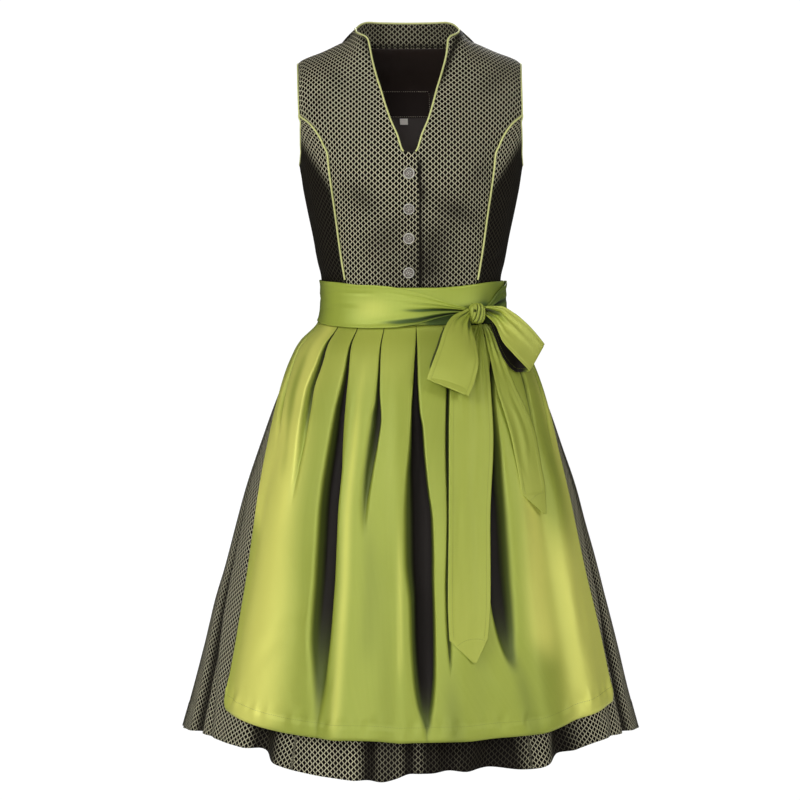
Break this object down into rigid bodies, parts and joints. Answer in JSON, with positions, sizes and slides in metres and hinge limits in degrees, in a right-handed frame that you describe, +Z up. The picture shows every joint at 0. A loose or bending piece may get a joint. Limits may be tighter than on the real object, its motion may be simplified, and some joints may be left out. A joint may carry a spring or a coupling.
{
  "type": "dirndl dress",
  "caption": "Sleeveless knee-length dirndl dress in worn form: V neck with stand collar, princess seams, full skirt and satin apron tied in a bow",
  "frame": {"origin": "midway between the two neck points, where the shoulder seams meet the collar, which is where the wearer's shoulders hold the dress up", "axes": "+Z up along the body, the front of the dress faces -Y, +X is the wearer's left"},
  "size_m": [0.6262, 0.5581, 0.969],
  "materials": {
    "jacquard": "matt woven lattice of pale olive threads over near-black diamonds",
    "satin": "lime green satin with a soft sheen",
    "piping": "bright lime satin piping",
    "lining": "dark brown lining satin",
    "label": "bare dark woven label",
    "size_tag": "bare pale woven tab",
    "button_metal": null
  },
  "bodies": {
    "root": {"front_right": "jacquard", "front_left": "jacquard", "side_front_left": "jacquard", "side_front_right": "jacquard", "bodice_back": "jacquard", "back_collar": "jacquard", "skirt_front": "jacquard", "skirt_back": "jacquard", "apron_panel": "satin", "apron_waistband": "satin", "tie_to_left": "satin", "tie_to_right": "satin", "bow_knot": "satin", "bow_loop_left": "satin", "bow_loop_right": "satin", "tail_long": "satin", "tail_short": "satin", "piping_neck": "piping", "piping_princess_left": "piping", "piping_princess_right": "piping", "piping_armhole_left": "piping", "piping_armhole_right": "piping", "back_lining": "lining", "brand_label": "label", "size_tag": "size_tag", "button_1": "button_metal", "button_2": "button_metal", "button_3": "button_metal", "button_4": "button_metal"}
  },
  "joints": []
}
